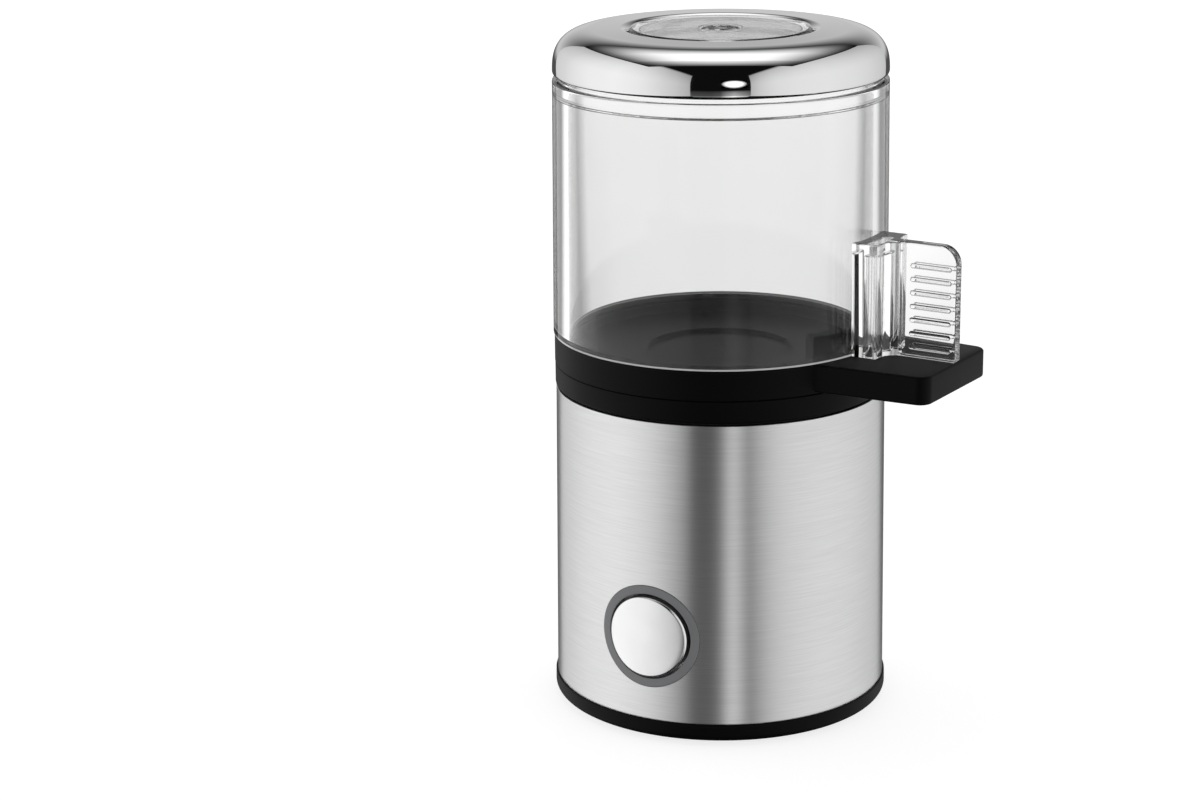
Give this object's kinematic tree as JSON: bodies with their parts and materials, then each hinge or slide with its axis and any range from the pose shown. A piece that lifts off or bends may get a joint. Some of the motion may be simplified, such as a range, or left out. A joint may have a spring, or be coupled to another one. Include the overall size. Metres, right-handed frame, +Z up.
{
  "type": "egg cooker",
  "caption": "Small upright single-egg cooker: round brushed-steel base with a push button, black carrier ring with a side tab, clear hood with a grip and a bright top ring.",
  "frame": {"origin": "on the table, on the axis of the round body", "axes": "+Z up along the body's axis, the button faces -Y, the tab and the grip point along +X, turned 5 degrees towards -Y"},
  "size_m": [0.0858, 0.068, 0.1347],
  "materials": {
    "black_plastic": "fine-grained satin",
    "foot_rubber": "matt",
    "screw_steel": "bright zinc plated",
    "sleeve_steel": "fine brushing round the body",
    "dish_coating": "dark non-stick coating, semi-gloss",
    "seal_silicone": "matt",
    "element_sheath": "heat-tinted satin",
    "phenolic": "matt",
    "bracket_steel": "satin",
    "fuse_ceramic": "glazed",
    "shield_aluminium": "satin",
    "light_grey": "translucent smoke grey, satin",
    "guide_plastic": "satin",
    "spring_steel": "bright",
    "board_green": "solder mask",
    "led_lens": "diffused lens",
    "component_black": "matt",
    "relay_blue": "satin",
    "capacitor_grey": "sleeved",
    "plug_ivory": "satin",
    "terminal_brass": "bright",
    "wire_brown": "satin",
    "wire_glass": "braided sleeve",
    "button_steel": "satin face, bright edge",
    "clear_plastic": "clear, polished",
    "bright_chrome": "mirror"
  },
  "bodies": {
    "base": {"base_pan": "black_plastic", "feet": "foot_rubber", "base_screws": "screw_steel", "steel_sleeve": "sleeve_steel", "inner_housing": "black_plastic", "heating_dish": "dish_coating", "dish_seal": "seal_silicone", "dish_screws": "screw_steel", "heater_element": "element_sheath", "thermostat": "phenolic", "thermostat_bracket": "bracket_steel", "bracket_screws": "screw_steel", "thermal_fuse": "fuse_ceramic", "fuse_clip": "bracket_steel", "heat_shield": "shield_aluminium", "light_ring": "light_grey", "button_guide": "guide_plastic", "button_spring": "spring_steel", "circuit_board": "board_green", "board_screws": "screw_steel", "tact_switch": "component_black", "status_leds": "led_lens", "relay": "relay_blue", "buzzer": "component_black", "capacitors": "capacitor_grey", "control_chip": "component_black", "board_plugs": "plug_ivory", "terminal_block": "plug_ivory", "terminal_screws": "terminal_brass", "supply_wires": "wire_brown", "heater_wires": "wire_glass", "cord_gland": "black_plastic", "cord_clamp": "black_plastic", "clamp_screws": "screw_steel"},
    "button": {"button_cap": "button_steel"},
    "plunger": {"switch_plunger": "plug_ivory"},
    "carrier": {"carrier_ring": "black_plastic"},
    "hood": {"hood_tube": "clear_plastic", "hood_cap": "clear_plastic", "bright_ring": "bright_chrome"}
  },
  "joints": [
    {"name": "button_press", "type": "slide", "parent": "base", "child": "button", "axis": [0, 1, 0], "range_m": [0, 0.001], "stiffness_N_per_m": 900, "springref_m": -0.002, "deforming": ["button_spring"]},
    {"name": "plunger_press", "type": "slide", "parent": "base", "child": "plunger", "axis": [0, 1, 0], "range_m": [0, 0.001]},
    {"name": "carrier_lift", "type": "slide", "parent": "base", "child": "carrier", "axis": [0, 0, 1], "range_m": [0, 0.04]},
    {"name": "hood_lift", "type": "slide", "parent": "carrier", "child": "hood", "axis": [0, 0, 1], "range_m": [0, 0.075]}
  ],
  "couplings": [
    {"joint": "plunger_press", "follows": "button_press", "ratio": 1}
  ]
}
